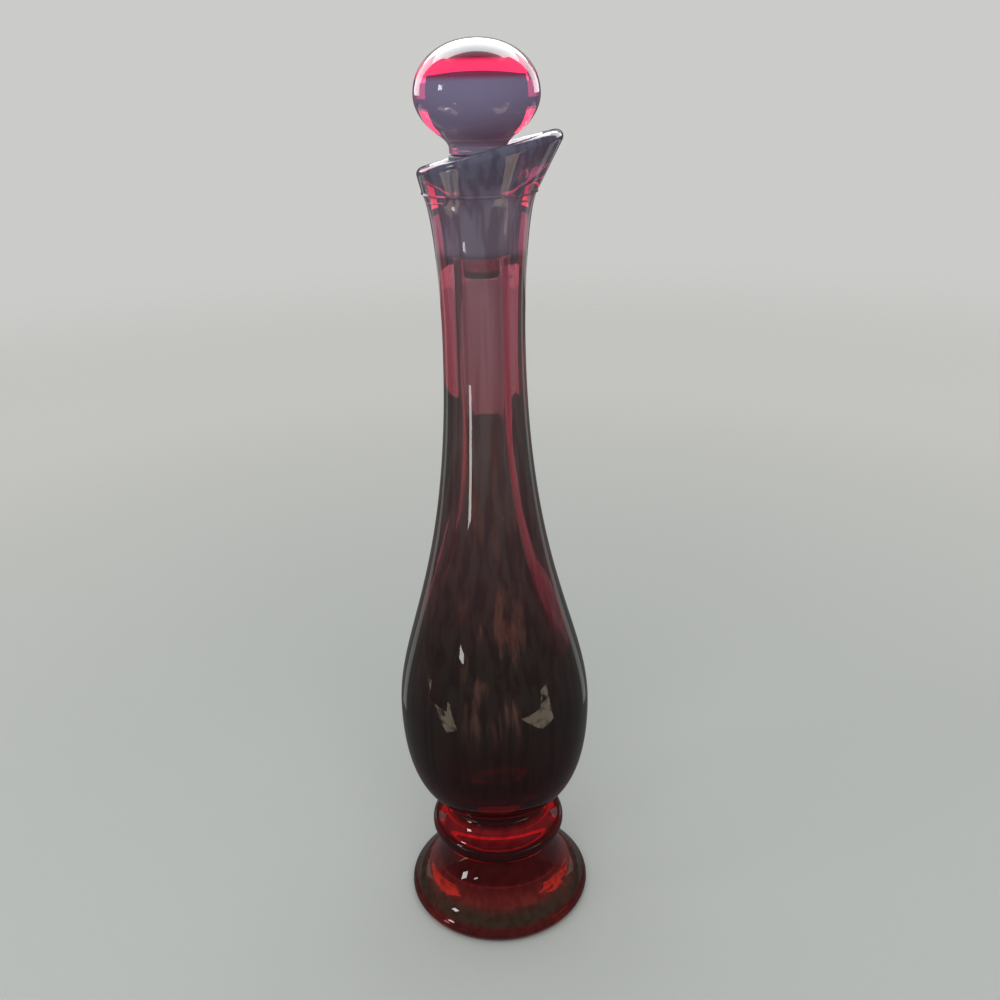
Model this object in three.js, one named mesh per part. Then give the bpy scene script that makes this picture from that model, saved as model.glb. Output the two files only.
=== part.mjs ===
// Ruby glass bud vase with a slanted lip and a ball stopper in a plastic sleeve.
// Millimetres, +Z up, the origin at the centre of the foot on the surface it stands on.

import * as THREE from 'three';

// Foot
const FOOT_RADIUS = 25.6;
const FOOT_ROLL_RADIUS = 2.2;
const FOOT_ROLL_END_ANGLE = 60;
const FOOT_RING_WIDTH = 3.4;
const FOOT_CREASE_INSET = 4.9;
const FOOT_CREASE_HEIGHT = 7.5;
const FOOT_BAND_SWELL = 0.35;
const FOOT_WAIST_RADIUS = 14.2;
const FOOT_WAIST_HEIGHT = 18.2;
const FOOT_HOLLOW = 0.35;
const RECESS_DEPTH = 5.5;

// Knop, the solid ring between the foot and the bulb
const KNOP_OVERHANG = 4.45;
const KNOP_ABOVE_WAIST = 5.6;
const KNOP_ROLL_RADIUS = 3.3;
const KNOP_ROLL_END_ANGLE = 60;

// Collar, the narrow place between the knop and the underside of the bulb
const COLLAR_RADIUS = 13;
const COLLAR_ABOVE_KNOP = 8;
const COLLAR_FILLET_WIDTH = 1.4;
const COLLAR_FILLET_HEIGHT = 3.25;

// Bulb
const BULB_RADIUS = 25.5;
const BULB_LOWER_HEIGHT = 28.2;
const BULB_UNDERSIDE_FLATNESS = 2;
const BULB_LOWER_FULLNESS = 25.7;
const BULB_UPPER_FULLNESS = 22.3;

// Neck
const THROAT_RADIUS = 9.85;
const THROAT_ABOVE_BULB = 101.9;
const THROAT_LOWER_REACH = 62.5;
const THROAT_UPPER_REACH = 7.5;
const MOUTH_SPREAD = 3.1;
const SEAM_ABOVE_THROAT = 32.1;
const SEAM_FLARE_ANGLE = 29;
const SEAM_BLEND = 4.2;
const SEAM_RIDGE = 0.25;
const SEAM_RIDGE_WIDTH = 0.7;

// Lip, drawn over to one side and slanted
const LIP_ABOVE_SEAM = 7.2;
const LIP_SLANT_ANGLE = 13.9;
const LIP_HIGH_SIDE_TURN = -9;
const LIP_ROLL_RADIUS = 1.5;
const LIP_HIGH_FLARE_ANGLE = 27.7;
const LIP_LOW_FLARE_ANGLE = 14;

// Hollow inside
const BORE_RADIUS = 5.3;
const BORE_TOP_ABOVE_SEAM = 2.2;
const BORE_LENGTH = 49.5;
const BULB_WALL = 3.6;
const CAVITY_SHOULDER_REACH = 48;
const CAVITY_UPPER_FULLNESS = 24;
const CAVITY_LOWER_FULLNESS = 18;
const FLOOR_THICKNESS = 5.2;
const FLOOR_FLATNESS = 15;

// Stopper
const SHOULDER_ABOVE_BORE_TOP = 6;
const STOPPER_NECK_RADIUS = 6.45;
const STOPPER_NECK_HEIGHT = 1;
const BALL_RADIUS = 13.9;
const BALL_ABOVE_SHOULDER = 12;
const BALL_UPPER_HALF_HEIGHT = 11.55;
const BALL_LOWER_HALF_HEIGHT = 10.8;
const BALL_UPPER_FULLNESS = 2.1;
const BALL_LOWER_FULLNESS = 1.85;
const BALL_BLEND_ANGLE = 50;
const SHANK_PAST_SLEEVE = 4.6;
const SHANK_TIP_ROUNDING = 0.9;

// Sleeve
const SEAT_CLEARANCE = 0.3;
const SLEEVE_LENGTH = 21.7;
const SLEEVE_WALL = 0.95;
const SLEEVE_TAPER_ANGLE = 0.8;
const SLEEVE_CHAMFER = 0.5;
const FLANGE_OVERHANG = 1.3;
const FLANGE_THICKNESS = 1.3;

// Facets around each piece
const BOTTLE_SEGMENTS = 48;
const STOPPER_SEGMENTS = 36;
const SLEEVE_SEGMENTS = 32;

// Facets along the outlines
const FOOT_ROLL_STEPS = 5;
const KNOP_ROLL_STEPS = 6;
const LIP_ROLL_STEPS = 8;
const BALL_STEPS = 14;
const FILLET_STEPS = 3;
const CURVE_STEPS = 6;
const LONG_CURVE_STEPS = 12;

// Heights and radii that follow from the sizes above
const recessRadius = FOOT_RADIUS - FOOT_ROLL_RADIUS - FOOT_RING_WIDTH;
const knopHeight = FOOT_WAIST_HEIGHT + KNOP_ABOVE_WAIST;
const collarHeight = knopHeight + COLLAR_ABOVE_KNOP;
const undersideHeight = collarHeight + COLLAR_FILLET_HEIGHT;
const bulbHeight = undersideHeight + BULB_LOWER_HEIGHT;
const throatHeight = bulbHeight + THROAT_ABOVE_BULB;
const seamHeight = throatHeight + SEAM_ABOVE_THROAT;
const seamRadius = THROAT_RADIUS + MOUTH_SPREAD;
const lipHeight = seamHeight + LIP_ABOVE_SEAM;
const boreTopHeight = seamHeight + BORE_TOP_ABOVE_SEAM;
const boreBottomHeight = boreTopHeight - BORE_LENGTH;
const floorHeight = undersideHeight + FLOOR_THICKNESS;
const shoulderHeight = boreTopHeight + SHOULDER_ABOVE_BORE_TOP;
const ballHeight = shoulderHeight + BALL_ABOVE_SHOULDER;
const flangeTopHeight = shoulderHeight - SEAT_CLEARANCE;
const flangeBottomHeight = flangeTopHeight - FLANGE_THICKNESS;
const sleeveBottomHeight = flangeTopHeight - SLEEVE_LENGTH;
const sleeveBore = sleeveRadius(sleeveBottomHeight) - SLEEVE_WALL;
const shankRadius = sleeveBore - SEAT_CLEARANCE;
const shankTipHeight = sleeveBottomHeight - SHANK_PAST_SLEEVE;

function radians(degrees) {
  return THREE.MathUtils.degToRad(degrees);
}

function point(radius, height) {
  return new THREE.Vector2(radius, height);
}

function last(points) {
  return points[points.length - 1];
}

// Point of a circle at an angle in degrees above the horizontal
function onCircle(centre, radius, angle) {
  const turn = radians(angle);
  return point(centre.x + radius * Math.cos(turn), centre.y + radius * Math.sin(turn));
}

// Round stretch of an outline, without its first point
function arc(centre, radius, fromAngle, toAngle, steps) {
  const points = [];
  for (let step = 1; step <= steps; step += 1) {
    points.push(onCircle(centre, radius, fromAngle + ((toAngle - fromAngle) * step) / steps));
  }
  return points;
}

// Curve with two handles from start to end, without its first point
function sweep(start, startHandle, endHandle, end, steps) {
  return new THREE.CubicBezierCurve(start, startHandle, endHandle, end).getPoints(steps).slice(1);
}

// Curve with one handle from start to end, without its first point
function bend(start, handle, end, steps) {
  return new THREE.QuadraticBezierCurve(start, handle, end).getPoints(steps).slice(1);
}

// Radius of the sleeve's outside, which fits the top of the bore with the seat clearance
function sleeveRadius(height) {
  const lean = Math.tan(radians(SLEEVE_TAPER_ANGLE));
  return BORE_RADIUS - SEAT_CLEARANCE + (height - boreTopHeight) * lean;
}

// Shallow dome under the foot, so that only a ring of it touches the table
function recessOutline() {
  const sphere = (recessRadius ** 2 + RECESS_DEPTH ** 2) / (2 * RECESS_DEPTH);
  const halfAngle = THREE.MathUtils.radToDeg(Math.asin(recessRadius / sphere));
  const centre = point(0, RECESS_DEPTH - sphere);
  return [point(0, RECESS_DEPTH), ...arc(centre, sphere, 90, 90 - halfAngle, FILLET_STEPS)];
}

function footOutline() {
  const rollCentre = point(FOOT_RADIUS - FOOT_ROLL_RADIUS, FOOT_ROLL_RADIUS);
  const roll = arc(rollCentre, FOOT_ROLL_RADIUS, -90, FOOT_ROLL_END_ANGLE, FOOT_ROLL_STEPS);
  const crease = point(FOOT_RADIUS - FOOT_CREASE_INSET, FOOT_CREASE_HEIGHT);
  const bandMiddle = last(roll).clone().lerp(crease, 0.5);
  const outwards = crease.clone().sub(last(roll)).normalize().rotateAround(point(0, 0), -Math.PI / 2);
  const bandHandle = bandMiddle.addScaledVector(outwards, 2 * FOOT_BAND_SWELL);
  const waist = point(FOOT_WAIST_RADIUS, FOOT_WAIST_HEIGHT);
  const sweepHandle = crease.clone().lerp(waist, 0.5).addScaledVector(point(-1, -1), 2 * FOOT_HOLLOW);
  return [
    point(rollCentre.x, 0),
    ...roll,
    ...bend(last(roll), bandHandle, crease, FILLET_STEPS),
    ...bend(crease, sweepHandle, waist, CURVE_STEPS),
  ];
}

function knopOutline() {
  const centre = point(FOOT_WAIST_RADIUS + KNOP_OVERHANG - KNOP_ROLL_RADIUS, knopHeight);
  const waist = point(FOOT_WAIST_RADIUS, FOOT_WAIST_HEIGHT);
  const collar = point(COLLAR_RADIUS, collarHeight);
  const below = onCircle(centre, KNOP_ROLL_RADIUS, -KNOP_ROLL_END_ANGLE);
  const above = onCircle(centre, KNOP_ROLL_RADIUS, KNOP_ROLL_END_ANGLE);
  const roll = arc(centre, KNOP_ROLL_RADIUS, -KNOP_ROLL_END_ANGLE, KNOP_ROLL_END_ANGLE, KNOP_ROLL_STEPS);
  const slope = Math.tan(radians(90 - KNOP_ROLL_END_ANGLE));
  const waistHandle = point(waist.x, below.y - (below.x - waist.x) * slope);
  const collarHandle = point(collar.x, above.y + (above.x - collar.x) * slope);
  return [
    ...bend(waist, waistHandle, below, FILLET_STEPS),
    ...roll,
    ...bend(above, collarHandle, collar, FILLET_STEPS),
  ];
}

function bulbOutline() {
  const collar = point(COLLAR_RADIUS, collarHeight);
  const filletHandle = point(COLLAR_RADIUS, undersideHeight);
  const underside = point(COLLAR_RADIUS + COLLAR_FILLET_WIDTH, undersideHeight);
  const undersideHandle = point(underside.x + BULB_UNDERSIDE_FLATNESS, undersideHeight);
  const widest = point(BULB_RADIUS, bulbHeight);
  const lowerHandle = point(BULB_RADIUS, bulbHeight - BULB_LOWER_FULLNESS);
  const upperHandle = point(BULB_RADIUS, bulbHeight + BULB_UPPER_FULLNESS);
  const throat = point(THROAT_RADIUS, throatHeight);
  const throatHandle = point(THROAT_RADIUS, throatHeight - THROAT_LOWER_REACH);
  return [
    ...bend(collar, filletHandle, underside, FILLET_STEPS),
    ...sweep(underside, undersideHandle, lowerHandle, widest, LONG_CURVE_STEPS),
    ...sweep(widest, upperHandle, throatHandle, throat, LONG_CURVE_STEPS),
  ];
}

// Upper neck up to the fine raised line that the mould leaves
function neckOutline() {
  const throat = point(THROAT_RADIUS, throatHeight);
  const throatHandle = point(THROAT_RADIUS, throatHeight + THROAT_UPPER_REACH);
  const lean = Math.tan(radians(SEAM_FLARE_ANGLE));
  const seam = point(seamRadius, seamHeight);
  const seamHandle = point(seamRadius - SEAM_BLEND * lean, seamHeight - SEAM_BLEND);
  const halfWidth = SEAM_RIDGE_WIDTH / 2;
  return [
    ...sweep(throat, throatHandle, seamHandle, seam, CURVE_STEPS).slice(0, -1),
    point(seamRadius - halfWidth * lean, seamHeight - halfWidth),
    point(seamRadius + SEAM_RIDGE, seamHeight),
  ];
}

// Lip as it is cut by the upright half plane at one turn about the axis
function lipOutline(turn) {
  const side = Math.cos(turn - radians(LIP_HIGH_SIDE_TURN));
  const highFlare = radians(LIP_HIGH_FLARE_ANGLE);
  const lowFlare = radians(LIP_LOW_FLARE_ANGLE);
  const flare = THREE.MathUtils.lerp(lowFlare, highFlare, (1 + side) / 2);
  const slant = Math.tan(radians(LIP_SLANT_ANGLE)) * side;
  const reach = seamRadius + LIP_ABOVE_SEAM * Math.tan(flare) - LIP_ROLL_RADIUS / Math.cos(flare);
  const rollRadius = reach / (1 - slant * Math.tan(flare));
  const rollCentre = point(rollRadius, lipHeight + slant * rollRadius);
  const mouth = point(BORE_RADIUS, boreTopHeight);
  const across = rollCentre.clone().sub(mouth);
  const funnelLean = Math.atan2(across.x, across.y) - Math.asin(LIP_ROLL_RADIUS / across.length());
  const fromAngle = -THREE.MathUtils.radToDeg(flare);
  const toAngle = 180 - THREE.MathUtils.radToDeg(funnelLean);
  const halfWidth = SEAM_RIDGE_WIDTH / 2;
  return [
    point(seamRadius + halfWidth * Math.tan(flare), seamHeight + halfWidth),
    onCircle(rollCentre, LIP_ROLL_RADIUS, fromAngle),
    ...arc(rollCentre, LIP_ROLL_RADIUS, fromAngle, toAngle, LIP_ROLL_STEPS),
    mouth,
  ];
}

function cavityOutline() {
  const boreEnd = point(BORE_RADIUS, boreBottomHeight);
  const boreHandle = point(BORE_RADIUS, boreBottomHeight - CAVITY_SHOULDER_REACH);
  const radius = BULB_RADIUS - BULB_WALL;
  const widest = point(radius, bulbHeight);
  const upperHandle = point(radius, bulbHeight + CAVITY_UPPER_FULLNESS);
  const lowerHandle = point(radius, bulbHeight - CAVITY_LOWER_FULLNESS);
  const floorHandle = point(FLOOR_FLATNESS, floorHeight);
  return [
    boreEnd,
    ...sweep(boreEnd, boreHandle, upperHandle, widest, LONG_CURVE_STEPS),
    ...sweep(widest, lowerHandle, floorHandle, point(0, floorHeight), CURVE_STEPS),
  ];
}

// Whole outline of the bottle at one turn, from under the foot, over the lip, to the inner floor
function bottleOutline(turn) {
  return [
    ...recessOutline(),
    ...footOutline(),
    ...knopOutline(),
    ...bulbOutline(),
    ...neckOutline(),
    ...lipOutline(turn),
    ...cavityOutline(),
  ];
}

// Point of the flattened ball at an angle in degrees above its widest place
function onBall(angle) {
  const halfHeight = angle > 0 ? BALL_UPPER_HALF_HEIGHT : BALL_LOWER_HALF_HEIGHT;
  const power = 2 / (angle > 0 ? BALL_UPPER_FULLNESS : BALL_LOWER_FULLNESS);
  const turn = radians(angle);
  const rise = Math.sign(angle) * Math.abs(Math.sin(turn)) ** power;
  return point(BALL_RADIUS * Math.cos(turn) ** power, ballHeight + halfHeight * rise);
}

function ballOutline() {
  const points = [];
  for (let step = 0; step < BALL_STEPS; step += 1) {
    points.push(onBall(((90 + BALL_BLEND_ANGLE) * step) / BALL_STEPS - BALL_BLEND_ANGLE));
  }
  return [...points, point(0, ballHeight + BALL_UPPER_HALF_HEIGHT)];
}

// Outline of the stopper from the tip of its shank to the top of its ball
function stopperOutline() {
  const tip = point(shankRadius - SHANK_TIP_ROUNDING, shankTipHeight + SHANK_TIP_ROUNDING);
  const neck = point(STOPPER_NECK_RADIUS, shoulderHeight + STOPPER_NECK_HEIGHT);
  const ball = ballOutline();
  const underBall = point(STOPPER_NECK_RADIUS, (neck.y + ball[0].y) / 2);
  return [
    point(0, shankTipHeight),
    point(tip.x, shankTipHeight),
    ...arc(tip, SHANK_TIP_ROUNDING, -90, 0, FILLET_STEPS),
    point(shankRadius, shoulderHeight),
    point(STOPPER_NECK_RADIUS, shoulderHeight),
    neck,
    ...bend(neck, underBall, ball[0], FILLET_STEPS),
    ...ball.slice(1),
  ];
}

// Outline of the sleeve, closed on itself
function sleeveOutline() {
  const chamferTop = sleeveBottomHeight + SLEEVE_CHAMFER;
  const flangeRadius = sleeveRadius(flangeBottomHeight) + FLANGE_OVERHANG;
  return [
    point(sleeveBore, sleeveBottomHeight),
    point(sleeveRadius(sleeveBottomHeight) - SLEEVE_CHAMFER, sleeveBottomHeight),
    point(sleeveRadius(chamferTop), chamferTop),
    point(sleeveRadius(flangeBottomHeight), flangeBottomHeight),
    point(flangeRadius, flangeBottomHeight),
    point(flangeRadius, flangeTopHeight),
    point(sleeveBore, flangeTopHeight),
    point(sleeveBore, sleeveBottomHeight),
  ];
}

// Turned solid whose outline may change with the turn about the upright axis
function turned(outlineAt, segments) {
  const geometry = new THREE.LatheGeometry(outlineAt(0), segments);
  const position = geometry.getAttribute('position');
  const rows = position.count / (segments + 1);
  for (let column = 0; column <= segments; column += 1) {
    const turn = ((column % segments) * 2 * Math.PI) / segments;
    outlineAt(turn).forEach((corner, row) => {
      const x = corner.x * Math.cos(turn);
      const y = corner.x * Math.sin(turn);
      position.setXYZ(column * rows + row, x, y, corner.y);
    });
  }
  return geometry;
}

function named(name, geometry, settings) {
  const mesh = new THREE.Mesh(geometry, new THREE.MeshStandardMaterial(settings));
  mesh.name = name;
  return mesh;
}

const rubyGlass = { color: 0x5c0a1c, roughness: 0.04, metalness: 0, opacity: 0.9, transparent: true };
const smokyPlastic = { color: 0x6d6e78, roughness: 0.35, metalness: 0 };

function bottle() {
  return named('bottle', turned(bottleOutline, BOTTLE_SEGMENTS), rubyGlass);
}

function stopper() {
  return named('stopper', turned(stopperOutline, STOPPER_SEGMENTS), rubyGlass);
}

function stopperSleeve() {
  return named('stopper_sleeve', turned(sleeveOutline, SLEEVE_SEGMENTS), smokyPlastic);
}

const vase = new THREE.Group();
vase.add(bottle(), stopper(), stopperSleeve());

export default vase;
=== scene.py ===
import math

import bmesh
import bpy
from mathutils import Matrix, Vector


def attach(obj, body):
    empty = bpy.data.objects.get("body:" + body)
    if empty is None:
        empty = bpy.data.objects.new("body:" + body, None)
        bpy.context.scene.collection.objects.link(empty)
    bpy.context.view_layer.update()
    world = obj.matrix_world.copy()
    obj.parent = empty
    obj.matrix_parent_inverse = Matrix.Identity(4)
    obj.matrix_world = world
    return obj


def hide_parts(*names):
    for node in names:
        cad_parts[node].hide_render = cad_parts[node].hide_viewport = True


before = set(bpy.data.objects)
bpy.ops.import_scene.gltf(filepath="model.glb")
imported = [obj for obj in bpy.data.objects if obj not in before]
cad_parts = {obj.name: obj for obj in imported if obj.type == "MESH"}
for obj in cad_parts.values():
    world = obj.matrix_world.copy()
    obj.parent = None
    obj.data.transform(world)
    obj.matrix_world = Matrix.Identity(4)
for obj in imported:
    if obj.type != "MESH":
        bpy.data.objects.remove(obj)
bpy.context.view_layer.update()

# Ruby glass bud vase with a slanted lip and a ball stopper in a plastic sleeve.
# Outlines are in millimetres, as they are measured, and the meshes in metres, +Z up.

MM = 0.001

# Foot
FOOT_RADIUS = 25.6
FOOT_ROLL_RADIUS = 2.2
FOOT_ROLL_END_ANGLE = 60
FOOT_RING_WIDTH = 3.4
FOOT_CREASE_INSET = 4.9
FOOT_CREASE_HEIGHT = 7.5
FOOT_BAND_SWELL = 0.35
FOOT_WAIST_RADIUS = 14.2
FOOT_WAIST_HEIGHT = 18.2
FOOT_HOLLOW = 0.35
RECESS_DEPTH = 5.5

# Knop
KNOP_OVERHANG = 4.45
KNOP_ABOVE_WAIST = 5.6
KNOP_ROLL_RADIUS = 3.3
KNOP_ROLL_END_ANGLE = 60

# Collar under the bulb
COLLAR_RADIUS = 13
COLLAR_ABOVE_KNOP = 8
COLLAR_FILLET_WIDTH = 1.4
COLLAR_FILLET_HEIGHT = 3.25

# Bulb
BULB_RADIUS = 25.5
BULB_LOWER_HEIGHT = 28.2
BULB_UNDERSIDE_FLATNESS = 2
BULB_LOWER_FULLNESS = 25.7
BULB_UPPER_FULLNESS = 22.3

# Neck
THROAT_RADIUS = 9.85
THROAT_ABOVE_BULB = 101.9
THROAT_LOWER_REACH = 62.5
THROAT_UPPER_REACH = 7.5
MOUTH_SPREAD = 3.1
SEAM_ABOVE_THROAT = 32.1
SEAM_FLARE_ANGLE = 29
SEAM_BLEND = 4.2
SEAM_RIDGE = 0.25
SEAM_RIDGE_WIDTH = 0.7

# Lip
LIP_ABOVE_SEAM = 7.2
LIP_SLANT_ANGLE = 13.9
LIP_HIGH_SIDE_TURN = -9
LIP_ROLL_RADIUS = 1.5
LIP_HIGH_FLARE_ANGLE = 27.7
LIP_LOW_FLARE_ANGLE = 14

# Hollow inside
BORE_RADIUS = 5.3
BORE_TOP_ABOVE_SEAM = 2.2
BORE_LENGTH = 49.5
BULB_WALL = 3.6
CAVITY_SHOULDER_REACH = 48
CAVITY_UPPER_FULLNESS = 24
CAVITY_LOWER_FULLNESS = 18
FLOOR_THICKNESS = 5.2
FLOOR_FLATNESS = 15

# Stopper
SHOULDER_ABOVE_BORE_TOP = 6
STOPPER_NECK_RADIUS = 6.45
STOPPER_NECK_HEIGHT = 1
BALL_RADIUS = 13.9
BALL_ABOVE_SHOULDER = 12
BALL_UPPER_HALF_HEIGHT = 11.55
BALL_LOWER_HALF_HEIGHT = 10.8
BALL_UPPER_FULLNESS = 2.1
BALL_LOWER_FULLNESS = 1.85
BALL_BLEND_ANGLE = 50
SHANK_PAST_SLEEVE = 4.6
SHANK_TIP_ROUNDING = 0.9

# Sleeve
SEAT_CLEARANCE = 0.3
CONTACT_OVERLAP = 0.02
SLEEVE_LENGTH = 21.7
SLEEVE_WALL = 0.95
SLEEVE_TAPER_ANGLE = 0.8
SLEEVE_CHAMFER = 0.5
FLANGE_OVERHANG = 1.3
FLANGE_THICKNESS = 1.3

# Softened corners, as a length of outline each way
BEAD_EASE = 0.3
MOUTH_EASE = 1.6
SHOULDER_EASE = 0.35
FLANGE_EASE = 0.3

# Uneven inside of the hollow, as hand-worked glass has it.
# Lobes round the axis, their share of the radius, their start in radians and their turns up its length
LOBES = ((2, 0.018, 0.35, 0.9), (3, 0.014, 1.9, -0.6), (5, 0.008, 4.1, 1.3), (7, 0.004, 2.6, -1.8))
LOBE_FADE_BELOW_SHANK = 14

# Fineness of the meshes
BOTTLE_SEGMENTS = 160
STOPPER_SEGMENTS = 128
SLEEVE_SEGMENTS = 96
FINE_STEPS = 8
ROLL_STEPS = 18
CURVE_STEPS = 24
LONG_CURVE_STEPS = 56
SHARP_ANGLE = math.radians(20)
INSIDE_MASK = "inside"

# Heights and radii that follow from the sizes above
recess_radius = FOOT_RADIUS - FOOT_ROLL_RADIUS - FOOT_RING_WIDTH
knop_height = FOOT_WAIST_HEIGHT + KNOP_ABOVE_WAIST
collar_height = knop_height + COLLAR_ABOVE_KNOP
underside_height = collar_height + COLLAR_FILLET_HEIGHT
bulb_height = underside_height + BULB_LOWER_HEIGHT
throat_height = bulb_height + THROAT_ABOVE_BULB
seam_height = throat_height + SEAM_ABOVE_THROAT
seam_radius = THROAT_RADIUS + MOUTH_SPREAD
lip_height = seam_height + LIP_ABOVE_SEAM
bore_top_height = seam_height + BORE_TOP_ABOVE_SEAM
bore_bottom_height = bore_top_height - BORE_LENGTH
floor_height = underside_height + FLOOR_THICKNESS
shoulder_height = bore_top_height + SHOULDER_ABOVE_BORE_TOP
ball_height = shoulder_height + BALL_ABOVE_SHOULDER
flange_top_height = shoulder_height - SEAT_CLEARANCE
flange_bottom_height = flange_top_height - FLANGE_THICKNESS
sleeve_bottom_height = flange_top_height - SLEEVE_LENGTH


def sleeve_radius(height):
    """Radius of the sleeve's outside, which is pressed into the tapered top of the bore."""
    lean = math.tan(math.radians(SLEEVE_TAPER_ANGLE))
    return BORE_RADIUS + (height - bore_top_height) * lean


def seat(height):
    """Point of the bore's wall behind the sleeve, where no film of air shows between the two."""
    return point(sleeve_radius(height) - CONTACT_OVERLAP, height)


sleeve_bore = sleeve_radius(sleeve_bottom_height) - SLEEVE_WALL
shank_radius = sleeve_bore + CONTACT_OVERLAP
shank_tip_height = sleeve_bottom_height - SHANK_PAST_SLEEVE


def point(radius, height):
    return Vector((radius, height))


def on_circle(centre, radius, angle):
    """Point of a circle at an angle in degrees above the horizontal."""
    turn = math.radians(angle)
    return centre + radius * point(math.cos(turn), math.sin(turn))


def arc(centre, radius, start_angle, end_angle, steps):
    """Round stretch of an outline, without its first point."""
    span = end_angle - start_angle
    return [on_circle(centre, radius, start_angle + span * step / steps) for step in range(1, steps + 1)]


def line(start, end, steps):
    """Straight stretch of an outline, without its first point."""
    return [start.lerp(end, step / steps) for step in range(1, steps + 1)]


def bend(start, handle, end, steps):
    """Curve with one handle, without its first point."""
    points = []
    for step in range(1, steps + 1):
        t = step / steps
        points.append(start.lerp(handle, t).lerp(handle.lerp(end, t), t))
    return points


def sweep(start, start_handle, end_handle, end, steps):
    """Curve with two handles, without its first point."""
    points = []
    for step in range(1, steps + 1):
        t = step / steps
        a = start.lerp(start_handle, t)
        b = start_handle.lerp(end_handle, t)
        c = end_handle.lerp(end, t)
        points.append(a.lerp(b, t).lerp(b.lerp(c, t), t))
    return points


def eased(first, second, reach):
    """Two stretches that meet in a corner, the corner softened over a length each way."""
    meeting = first[-1]
    before = [p for p in first if (p - meeting).length > reach]
    after = [p for p in second if (p - meeting).length > reach]
    return before + bend(before[-1], meeting, after[0], FINE_STEPS)[:-1] + after


def corner(before, middle, after, reach):
    """Softened corner of two straight stretches, with both its ends."""
    start = middle + (before - middle).normalized() * reach
    end = middle + (after - middle).normalized() * reach
    return [start] + bend(start, middle, end, FINE_STEPS)


def recess_outline():
    sphere = (recess_radius ** 2 + RECESS_DEPTH ** 2) / (2 * RECESS_DEPTH)
    half_angle = math.degrees(math.asin(recess_radius / sphere))
    centre = point(0, RECESS_DEPTH - sphere)
    return [point(0, RECESS_DEPTH)] + arc(centre, sphere, 90, 90 - half_angle, CURVE_STEPS)


def foot_outline():
    roll_centre = point(FOOT_RADIUS - FOOT_ROLL_RADIUS, FOOT_ROLL_RADIUS)
    roll = arc(roll_centre, FOOT_ROLL_RADIUS, -90, FOOT_ROLL_END_ANGLE, CURVE_STEPS)
    crease = point(FOOT_RADIUS - FOOT_CREASE_INSET, FOOT_CREASE_HEIGHT)
    along = (crease - roll[-1]).normalized()
    outwards = point(along.y, -along.x)
    band_handle = roll[-1].lerp(crease, 0.5) + outwards * 2 * FOOT_BAND_SWELL
    waist = point(FOOT_WAIST_RADIUS, FOOT_WAIST_HEIGHT)
    hollow_handle = crease.lerp(waist, 0.5) + point(-1, -1) * 2 * FOOT_HOLLOW
    band = bend(roll[-1], band_handle, crease, CURVE_STEPS)
    slope = bend(crease, hollow_handle, waist, LONG_CURVE_STEPS)
    edge = eased([point(roll_centre.x, 0)] + roll, band, BEAD_EASE)
    return edge + slope


def knop_outline():
    centre = point(FOOT_WAIST_RADIUS + KNOP_OVERHANG - KNOP_ROLL_RADIUS, knop_height)
    waist = point(FOOT_WAIST_RADIUS, FOOT_WAIST_HEIGHT)
    collar = point(COLLAR_RADIUS, collar_height)
    below = on_circle(centre, KNOP_ROLL_RADIUS, -KNOP_ROLL_END_ANGLE)
    above = on_circle(centre, KNOP_ROLL_RADIUS, KNOP_ROLL_END_ANGLE)
    roll = arc(centre, KNOP_ROLL_RADIUS, -KNOP_ROLL_END_ANGLE, KNOP_ROLL_END_ANGLE, CURVE_STEPS)
    slope = math.tan(math.radians(90 - KNOP_ROLL_END_ANGLE))
    waist_handle = point(waist.x, below.y - (below.x - waist.x) * slope)
    collar_handle = point(collar.x, above.y + (above.x - collar.x) * slope)
    rise = bend(waist, waist_handle, below, ROLL_STEPS)
    fall = bend(above, collar_handle, collar, ROLL_STEPS)
    return rise + roll + fall


def bulb_outline():
    collar = point(COLLAR_RADIUS, collar_height)
    fillet_handle = point(COLLAR_RADIUS, underside_height)
    underside = point(COLLAR_RADIUS + COLLAR_FILLET_WIDTH, underside_height)
    underside_handle = point(underside.x + BULB_UNDERSIDE_FLATNESS, underside_height)
    widest = point(BULB_RADIUS, bulb_height)
    lower_handle = point(BULB_RADIUS, bulb_height - BULB_LOWER_FULLNESS)
    upper_handle = point(BULB_RADIUS, bulb_height + BULB_UPPER_FULLNESS)
    throat = point(THROAT_RADIUS, throat_height)
    throat_handle = point(THROAT_RADIUS, throat_height - THROAT_LOWER_REACH)
    fillet = bend(collar, fillet_handle, underside, ROLL_STEPS)
    lower = sweep(underside, underside_handle, lower_handle, widest, LONG_CURVE_STEPS)
    upper = sweep(widest, upper_handle, throat_handle, throat, LONG_CURVE_STEPS)
    return fillet + lower + upper


def neck_outline():
    throat = point(THROAT_RADIUS, throat_height)
    throat_handle = point(THROAT_RADIUS, throat_height + THROAT_UPPER_REACH)
    lean = math.tan(math.radians(SEAM_FLARE_ANGLE))
    seam = point(seam_radius, seam_height)
    seam_handle = point(seam_radius - SEAM_BLEND * lean, seam_height - SEAM_BLEND)
    half_width = SEAM_RIDGE_WIDTH / 2
    below = point(seam_radius - half_width * lean, seam_height - half_width)
    rise = sweep(throat, throat_handle, seam_handle, seam, CURVE_STEPS)
    kept = [p for p in rise if p.y < below.y - half_width]
    return kept + [below]


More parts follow.
